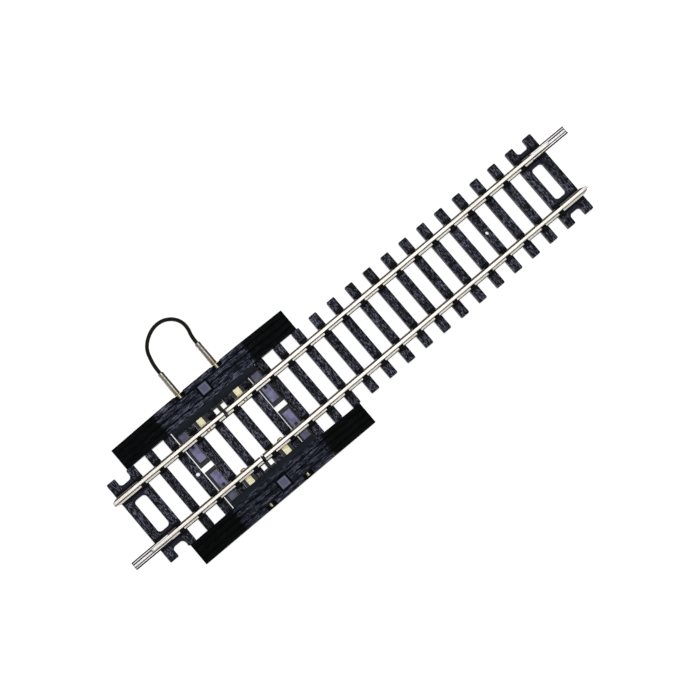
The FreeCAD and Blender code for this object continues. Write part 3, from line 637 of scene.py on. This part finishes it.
def make_ferrule(end, material):
    """Drawn sleeve: rolled lips at both ends, two shallow crimp rings and a slightly waisted middle."""
    start, stop = span(f"link_ferrule_{end}", 1)
    west_face, east_face = span(f"link_ferrule_{end}", 0)
    outer = (east_face - west_face) / 2
    lip = 0.16
    across = np.linspace(start + lip, stop - lip, 60)
    rings = sum(np.exp(-((across - middle) / 0.28) ** 2) for middle in (stop - 1.3, stop - 2.7))
    radius = outer - 0.07 * rings - 0.015 * np.sin((across - start) * 1.3) ** 2
    turn = np.linspace(0, np.pi / 2, 6)
    inner_lip = [(outer - lip + lip * math.sin(t), start + lip - lip * math.cos(t)) for t in turn]
    outer_lip = [(outer - lip + lip * math.cos(t), stop - lip + lip * math.sin(t)) for t in turn]
    profile = [(0.585, start + 0.9), (0.6, start + 0.05)] + inner_lip + list(zip(radius, across))
    profile += outer_lip + [(0.3, stop)]
    piece = merge_tubes(f"ferrule_{end}", [turned(profile, SOCKETS[end])], material, 50)
    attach(piece, "link")
    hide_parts(f"link_ferrule_{end}")
    return piece


# ---------------------------------------------------------------- rails and joiners

def rail_section():
    """Rail across the track, about its own centre: rounded head, thin web, sloping foot."""
    head_half, web_half = 0.475, 0.225
    half = [(FOOT_HALF, SLEEPER_TOP), (FOOT_HALF, FOOT_TOP - 0.02), (web_half + 0.035, FOOT_TOP),
            (web_half, 4.02), (head_half, 4.2), (head_half, RAIL_TOP)]
    return mirrored_section(half, [0.05, 0.1, 0.1, 0.12, 0.12, 0.1])


def make_rail(side_name, end, material):
    """Rail section carried along the track; the foot narrows towards its open end."""
    node = f"rail_{side_name}_{end}"
    start, stop = span(node, 0)
    open_end = start if end == "west" else stop
    taper, taper_length = 0.55, 1.7
    marks = [start, start + 0.04, stop - 0.04, stop, open_end - ENDS[end] * taper_length]
    stations = np.unique(np.concatenate([marks, np.linspace(start, stop, 60)]))
    grid = along_x(rail_section(), stations)
    room = FOOT_HALF - taper * np.clip(1 - np.abs(stations - open_end) / taper_length, 0, 1)
    ease = 0.03 * (np.minimum(stations - start, stop - stations) < 0.02)
    grid[:, :, 1] = np.clip(grid[:, :, 1], -room[:, None], room[:, None])
    grid[:, :, 1] -= np.sign(grid[:, :, 1]) * ease[:, None]
    grid[:, :, 1] += SIDES[side_name] * RAIL_CENTRE
    piece = merge_tubes(f"{node}_rolled", [grid], material, 40)
    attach(piece, "track")
    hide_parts(node)


def make_joiner(end, side, material):
    """Folded channel: floor, two rolled sides and two lips; the lips open out in a V at each end."""
    node = f"joiner_{end}"
    start, stop = span(node, 0)
    room, sheet, slit = FOOT_HALF + 0.04, 0.15, 0.45
    floor, ceiling = SLEEPER_TOP - 0.04, FOOT_TOP + 0.04
    half = [(room + sheet, floor - sheet), (room + sheet, ceiling + sheet), (slit, ceiling + sheet),
            (slit, ceiling), (room, ceiling), (room, floor)]
    loop = mirrored_section(half, [0.2, 0.22, 0.06, 0.02, 0.07, 0.06])
    near_end = np.linspace(0, 1.4, 10)
    stations = np.unique(np.concatenate([np.linspace(start, stop, 40), start + near_end, stop - near_end]))
    grid = along_x(loop, stations)
    from_end = np.minimum(stations - start, stop - stations)
    mouth_widening, mouth_length = 0.6, 1.2
    opening = slit + mouth_widening * np.clip(1 - from_end / mouth_length, 0, 1)
    is_lip = (loop[:, 1] > ceiling - 0.03) & (np.abs(loop[:, 0]) < room - 0.02)
    widened = np.sign(loop[None, :, 0]) * np.maximum(np.abs(loop[None, :, 0]), opening[:, None])
    grid[:, :, 1] = np.where(is_lip[None], widened, grid[:, :, 1])
    corner = np.clip(1 - from_end / 0.35, 0, 1) ** 2
    grid[:, :, 1] *= 1 - 0.07 * corner[:, None]
    grid[:, :, 1] += side * RAIL_CENTRE
    piece = merge_tubes(f"{node}_folded", [grid], material, 40)
    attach(piece, node)
    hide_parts(node)


def make_hooks(material):
    """Wire staples at the ends of the contact strips, beside the rails' feet: a round section on a flat U."""
    wire_radius, bend = 0.17, 0.4
    height, root, shift = FOOT_TOP + 0.16, 8.35, 0.25
    angle = np.linspace(0, 2 * np.pi, 12, endpoint=False)
    tubes = []
    for side, half_width, reach in ((-1, 0.72, 7.2), (1, 0.5, 7.42)):
        for centre in SOCKETS.values():
            corners = [(-half_width, root), (-half_width, reach), (half_width, reach), (half_width, root)]
            path = rounded_loop(corners, [0.0, bend, bend, 0.0], 6) * [1, side] + [centre + shift, 0]
            tangent = np.gradient(path, axis=0)
            tangent /= np.linalg.norm(tangent, axis=1)[:, None]
            grid = np.empty((len(path), len(angle), 3))
            grid[:, :, 0] = path[:, :1] - wire_radius * tangent[:, 1:] * np.cos(angle)
            grid[:, :, 1] = path[:, 1:] + wire_radius * tangent[:, :1] * np.cos(angle)
            grid[:, :, 2] = height + wire_radius * np.sin(angle)
            tubes.append(grid)
    piece = merge_tubes("contact_hooks", tubes, material, 50)
    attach(piece, "track")


# ---------------------------------------------------------------- terminal block covers

# Sizes of a block, in millimetres; reach is the distance out from the middle of the track.
COVER_START, COVER_STOP = span("terminal_cover_far", 0)
FLAT_HALF = 15.6
SLOPE_FOOT, BLOCK_OUTER = span("terminal_cover_far", 1)
SLOPE_HEAD, BLOCK_INNER = 14.2, 14.35
BLOCK_TOP = span("terminal_cover_far", 2)[1]
RAMP_END, COVER_FLOOR = 1.3, 0.8
BOARD, GROOVE, GROOVE_DEPTH = 1.7, 0.25, 0.3
LUG_CENTRE, LUG_HOLE_HALF, LUG_HOLE_FLOOR = 18.05, 2.15, 3.9
NOTCH_HALF, NOTCH_DEPTH, NOTCH_FLOOR = 1.7, 1.5, 2.6
STEP = 0.02


def plank_height(along, reach, seed):
    """Height of the planked top: ramp or flat, less the grooves and the rounded plank edges, plus grain."""
    from_cut = np.abs(along - CUT)
    run = (COVER_STOP - COVER_START) / 2 - FLAT_HALF
    ramp = BLOCK_TOP - (BLOCK_TOP - RAMP_END) * (from_cut - FLAT_HALF) / run
    base = np.where(from_cut < FLAT_HALF, BLOCK_TOP, ramp)
    drift = 0.1 * lattice_noise(along * 0.12, np.floor(reach / 2.0) * 3.1, seed + 40)
    from_edge = np.mod(BLOCK_OUTER - reach + drift, BOARD + GROOVE)
    plank = np.floor((BLOCK_OUTER - reach + drift) / (BOARD + GROOVE))
    across_plank = np.abs(from_edge - BOARD / 2) / (BOARD / 2)
    level_part = 0.62
    crown = -0.2 * np.clip(across_plank - level_part, 0, 1) ** 2 / (1 - level_part) ** 2
    crown = np.where(from_edge > BOARD, -GROOVE_DEPTH, np.maximum(crown, -GROOVE_DEPTH))
    own_level = 0.03 * np.sin(plank * 2.1 + seed)
    grain = 0.075 * wood_grain(along, reach + plank * 5.0, seed)
    brink_drop, brink_length, clearance = 0.25, 0.25, 0.06
    brink = brink_drop * np.clip(1 - np.abs(from_cut - FLAT_HALF) / brink_length, 0, 1)
    brink = brink * (from_cut > FLAT_HALF)
    return np.minimum(base + crown + own_level + grain - brink - clearance, BLOCK_TOP)


def carve(height, along, reach):
    """Lowers the height to the floor of the lug's window and of the socket notches."""
    window = (np.abs(along - CUT) < LUG_HOLE_HALF) & (np.abs(reach - LUG_CENTRE) < LUG_HOLE_HALF)
    height = np.where(window, LUG_HOLE_FLOOR, height)
    for centre in SOCKETS.values():
        notch = (np.abs(along - centre) < NOTCH_HALF) & (reach > BLOCK_OUTER - NOTCH_DEPTH)
        height = np.where(notch, NOTCH_FLOOR, height)
    return height


def crisp(values, edges):
    """Grid lines with a close pair at each edge, so that a step there stays upright."""
    pairs = np.array([edge + offset for edge in edges for offset in (-STEP, STEP)])
    kept = values[np.min(np.abs(values[:, None] - np.asarray(edges)[None]), axis=1) > 2 * STEP]
    return np.unique(np.concatenate([kept, pairs]))


def make_cover(side_name, material):
    """Closed skin: a loop across the block (outer face, planks, slope, inner face) carried along it."""
    side = SIDES[side_name]
    seed = 11 if side > 0 else 57
    edges = [CUT - FLAT_HALF, CUT + FLAT_HALF, CUT - LUG_HOLE_HALF, CUT + LUG_HOLE_HALF]
    edges += [centre + offset for centre in SOCKETS.values() for offset in (-NOTCH_HALF, NOTCH_HALF)]
    stations = crisp(np.linspace(COVER_START, COVER_STOP, 300), edges)
    reach_edges = [BLOCK_OUTER - NOTCH_DEPTH, LUG_CENTRE - LUG_HOLE_HALF, LUG_CENTRE + LUG_HOLE_HALF]
    planks = crisp(np.linspace(BLOCK_OUTER - 0.04, SLOPE_HEAD, 62), reach_edges)[::-1]
    along, reach = np.meshgrid(stations, planks, indexing="ij")
    height = carve(plank_height(along, reach, seed), along, reach)

    raised = np.abs(stations - CUT) < FLAT_HALF
    inner_limit = np.where(raised, SLOPE_HEAD, BLOCK_INNER)[:, None]
    at_inner = plank_height(stations, np.full_like(stations, BLOCK_INNER + 0.05), seed)[:, None]
    height = np.where(reach < inner_limit, at_inner, height)
    reach = np.maximum(reach, inner_limit)

    rows = len(stations)
    outer_fraction = np.array([0.0, 0.33, 0.66, 0.97])
    outer_height = COVER_FLOOR + (height[:, :1] - COVER_FLOOR) * outer_fraction
    outer_reach = np.full((rows, len(outer_fraction)), BLOCK_OUTER)

    slope = np.linspace(0, 1, 9)[1:]
    bow = 0.12 * np.sin(np.pi * slope)
    bowed = SLOPE_HEAD + (SLOPE_FOOT - SLOPE_HEAD) * slope - bow
    slope_along, slope_reach = np.meshgrid(stations, bowed, indexing="ij")
    ridges = 0.03 * wood_grain(slope_along, slope_reach, seed) * (slope < 1)
    slope_reach = np.where(raised[:, None], slope_reach - ridges, BLOCK_INNER)
    slope_reach = np.clip(slope_reach, SLOPE_FOOT, None)
    slope_base = np.where(raised, SLEEPER_TOP, COVER_FLOOR + 0.05)[:, None]
    slope_height = height[:, -1:] + (slope_base - height[:, -1:]) * slope

    back_reach = np.full((rows, 2), BLOCK_INNER)
    back_top = np.where(raised, SLEEPER_TOP, COVER_FLOOR + 0.025)
    back_height = np.stack([back_top, np.full(rows, COVER_FLOOR)], axis=1)

    across = np.concatenate([outer_reach, reach, slope_reach, back_reach], axis=1)
    up = np.concatenate([outer_height, height, slope_height, back_height], axis=1)
    grid = np.stack([np.repeat(stations[:, None], across.shape[1], 1), side * across, up], axis=-1)
    piece = merge_tubes(f"terminal_cover_{side_name}_planked", [grid], material, 38)
    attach(piece, "track")
    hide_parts(f"terminal_cover_{side_name}")


# ---------------------------------------------------------------- sleepers

def sleeper_x(number):
    """Middle of a sleeper, counted from the west end."""
    return (number - 0.5) * PITCH - HALF_TRACK


def sleeper_grid(number):
    """A sleeper: a loop with rounded top edges carried across the track; rounded ends, raised grain."""
    is_end = number in (1, SLEEPERS)
    half = END_SLEEPER_HALF_WIDTH if is_end else SLEEPER_HALF_WIDTH
    edge, steps = 0.22, 4
    turn = np.linspace(0, np.pi / 2, steps)
    right = np.stack([half - edge + edge * np.cos(turn), SLEEPER_TOP - edge + edge * np.sin(turn)], axis=1)
    top = np.linspace(half - edge, -(half - edge), 15)[1:-1]
    flat = np.stack([top, np.full_like(top, SLEEPER_TOP)], axis=1)
    left = right[::-1] * [-1, 1]
    middle = 1.2
    loop = np.concatenate([[(half, 0.0), (half, middle)], right, flat, left, [(-half, middle), (-half, 0.0)]])

    tip = SHORT_HALF_LENGTH if number in SHORT_SLEEPERS else SLEEPER_HALF_LENGTH
    stations = np.linspace(-tip, tip, 96)
    if is_end:
        seat_edges = [side * RAIL_CENTRE + offset for side in (-1, 1) for offset in (-SEAT_HALF, SEAT_HALF)]
        stations = crisp(stations, seat_edges)
    from_tip = np.abs(tip - np.abs(stations))
    corner = 0.13
    pull = corner - np.sqrt(np.clip(corner ** 2 - np.clip(corner - from_tip, 0, corner) ** 2, 0, None))
    shrink = (half - pull) / half
    grid = np.empty((len(stations), len(loop), 3))
    grid[:, :, 0] = loop[None, :, 0] * shrink[:, None]
    grid[:, :, 1] = stations[:, None]
    grid[:, :, 2] = loop[None, :, 1]
    along, across = grid[:, :, 1], grid[:, :, 0]
    relief = 0.045 * wood_grain(along, across + number * 7.3, 100 + number) - 0.035
    is_top = loop[None, :, 1] > SLEEPER_TOP - edge / 2
    by_rail = np.abs(np.abs(along) - RAIL_CENTRE) < 2.0
    grid[:, :, 2] += np.where(is_top, np.where(by_rail, -0.012, relief), 0.0)
    grid[:, :, 2] -= np.where(is_top, 0.5 * pull[:, None], 0.0)
    if is_end:
        seat = np.abs(np.abs(along) - RAIL_CENTRE) < SEAT_HALF
        grid[:, :, 2] = np.where(seat, np.minimum(grid[:, :, 2], PLATE_TOP), grid[:, :, 2])
    grid[:, :, 0] += sleeper_x(number)
    return grid


def drill(piece, centre_x, radius):
    """Cuts a round upright hole through a piece and keeps the result as its mesh."""
    angle = np.linspace(0, 2 * np.pi, 28, endpoint=False)
    grid = np.empty((2, len(angle), 3))
    grid[:, :, 0] = centre_x + radius * np.cos(angle)
    grid[:, :, 1] = radius * np.sin(angle)
    grid[:, :, 2] = np.array([-1.0, SLEEPER_TOP + 1.7])[:, None]
    cutter = merge_tubes("cutter", [grid], piece.data.materials[0])
    cut = piece.modifiers.new("hole", "BOOLEAN")
    cut.operation = "DIFFERENCE"
    cut.solver = "EXACT"
    cut.object = cutter
    shape = bpy.data.meshes.new_from_object(piece.evaluated_get(bpy.context.evaluated_depsgraph_get()))
    piece.modifiers.clear()
    piece.data = shape
    bpy.data.objects.remove(cutter)


def chair_grids():
    """Rail chairs: a rounded block with a lip over the rail foot, carried a short way along the rail.

    Its top is drawn in towards the middle of the section at both ends.
    """
    face, lip, back = FOOT_HALF + 0.03, FOOT_HALF - 0.6, 1.9
    base, top, bevel = SLEEPER_TOP - 0.05, SLEEPER_TOP + 0.85, 0.28
    section = [(face, base), (back, base), (back, top - bevel), (back - bevel, top), (lip + 0.3, top),
               (lip, FOOT_TOP + 0.3), (lip, FOOT_TOP + 0.04), (face, FOOT_TOP + 0.04)]
    loop = rounded_loop(section, [0.0, 0.0, 0.15, 0.15, 0.12, 0.08, 0.04, 0.0], 3)
    is_top = loop[:, 1] > FOOT_TOP + 0.1
    middle = loop.mean(axis=0)
    offsets = np.array([-0.825, -0.78, -0.65, 0.65, 0.78, 0.825])
    size = np.array([0.86, 0.95, 1.0, 1.0, 0.95, 0.86])
    grids = []
    for number in range(2, SLEEPERS):
        for side in (-1, 1):
            for facing in (-1, 1):
                grid = along_x(loop, sleeper_x(number) + offsets)
                grid[:, is_top, 1:] = middle + (grid[:, is_top, 1:] - middle) * size[:, None, None]
                grid[:, :, 1] = side * RAIL_CENTRE + facing * grid[:, :, 1]
                grids.append(grid)
    return grids


def tie_grids():
    """Ties under the rails: rounded strips, high under plain track and low where the contact strips cross.

    They reach further on the -Y side of each rail, where they stand in for the shadow under its foot as a
    dark line beside it.
    """
    # The -Y edge lies out past the foot: a dark strip standing in for the rail's shadow.
    shadow_line_edge, far_edge = -1.32, 0.8

    def strip(floor, top):
        corners = [(shadow_line_edge, floor), (far_edge, floor), (far_edge, top), (shadow_line_edge, top)]
        return rounded_loop(corners, [0.1] * 4, 3)

    high, low = strip(1.55, SLEEPER_TOP - 0.03), strip(0.2, 1.5)
    runs = ((high, 2, 5), (high, 8, SLEEPERS - 1), (low, 5, 8))
    grids = []
    for side in (-1, 1):
        for loop, first, last in runs:
            shifted = loop + [side * RAIL_CENTRE, 0]
            grids.append(along_x(shifted, np.linspace(sleeper_x(first), sleeper_x(last), 4 * (last - first))))
    return grids


def end_plate_grids():
    """Plates between the two sleepers at each end, flared by arcs where they meet the sleepers.

    The middle of each plate is lowered, as a seat under the joiner.
    """
    inner, outer, flare, buried = 5.85, 11.7, 1.2, 0.1
    top, seat = PLATE_TOP - 0.02, PLATE_TOP - 0.28
    seat_inner, seat_outer, lean = 7.05, 10.4, 0.1
    section = [(inner, 0), (outer, 0), (outer, top), (seat_outer + lean, top), (seat_outer - lean, seat),
               (seat_inner + lean, seat), (seat_inner - lean, top), (inner, top)]
    loop = rounded_loop(section, [0, 0, 0.2, 0.1, 0.1, 0.1, 0.1, 0.2], 3)
    grids = []
    for first in (1, SLEEPERS - 1):
        start = sleeper_x(first) + SLEEPER_HALF_WIDTH - buried
        stop = sleeper_x(first + 1) - SLEEPER_HALF_WIDTH + buried
        stations = np.linspace(start, stop, 40)
        face = np.minimum(stations - start, stop - stations) - buried - 0.02
        gap = np.clip(flare - np.clip(face, 0, None), 0, flare)
        reach = flare - np.sqrt(flare ** 2 - gap ** 2)
        for side in (-1, 1):
            grid = along_x(loop, stations)
            at_inner = grid[:, :, 1] < inner + 0.25
            at_outer = grid[:, :, 1] > outer - 0.25
            grid[:, :, 1] += np.where(at_outer, reach[:, None], 0) - np.where(at_inner, reach[:, None], 0)
            grid[:, :, 1] *= side
            grids.append(grid)
    return grids


def make_sleepers(material):
    """All the mouldings of the ladder, in a few pieces."""
    groups = {"sleepers_west": range(1, 13), "sleepers_east": range(13, SLEEPERS + 1)}
    pieces = []
    for name, numbers in groups.items():
        plain = [sleeper_grid(number) for number in numbers if number not in DRILLED_SLEEPERS]
        pieces.append(merge_tubes(name, plain, material, 40))
    for number in DRILLED_SLEEPERS:
        piece = merge_tubes(f"sleeper_{number}", [sleeper_grid(number)], material, 40)
        drill(piece, sleeper_x(number), 0.6)
        pieces.append(piece)
    pieces.append(merge_tubes("rail_chairs", chair_grids(), material, 45))
    pieces.append(merge_tubes("rail_ties", tie_grids(), material, 45))
    pieces.append(merge_tubes("end_plates", end_plate_grids(), material, 45))
    for piece in pieces:
        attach(piece, "track")
        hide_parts("sleeper_base")


# ---------------------------------------------------------------- everything

def repaint(node, material):
    """Gives a CAD node another finish."""
    for slot in nodes[node].material_slots:
        slot.material = material


make_camera()
wire = make_wire(wire_finish())
ferrule_tin = ferrule_finish()
ferrules = [make_ferrule(end, ferrule_tin) for end in ENDS]
SOCKETS["west"] * MM
make_studio()

rail_metal = rail_finish()
cover_plastic = plank_finish()
tray_plastic = tray_finish()
fin_plastic = fin_finish()
contact_brass = brass_finish("contact_brass_finish", rgb(0.64, 0.615, 0.43), rgb(0.46, 0.33, 0.17))
pin_brass = brass_finish("pin_brass_finish", rgb(0.92, 0.80, 0.42), rgb(0.60, 0.38, 0.14))
for side_name in SIDES:
    make_cover(side_name, cover_plastic)
    repaint(f"terminal_tray_{side_name}", tray_plastic)
    repaint(f"insulating_fin_{side_name}", fin_plastic)
    for end in ENDS:
        make_rail(side_name, end, rail_metal)
        repaint(f"contact_{side_name}_{end}", contact_brass)
joiner_steel = joiner_finish()
make_joiner("west", SIDES["near"], joiner_steel)
make_joiner("east", SIDES["far"], joiner_steel)
for end in ENDS:
    repaint(f"link_pin_{end}", pin_brass)
wire_copper = brass_finish("wire_copper_finish", rgb(0.8, 0.45, 0.28), rgb(0.5, 0.25, 0.14))
repaint("link_core", wire_copper)
hook_brass = brass_finish("contact_hook_finish", rgb(0.72, 0.54, 0.42), rgb(0.34, 0.17, 0.12))
make_hooks(hook_brass)
make_sleepers(sleeper_finish())
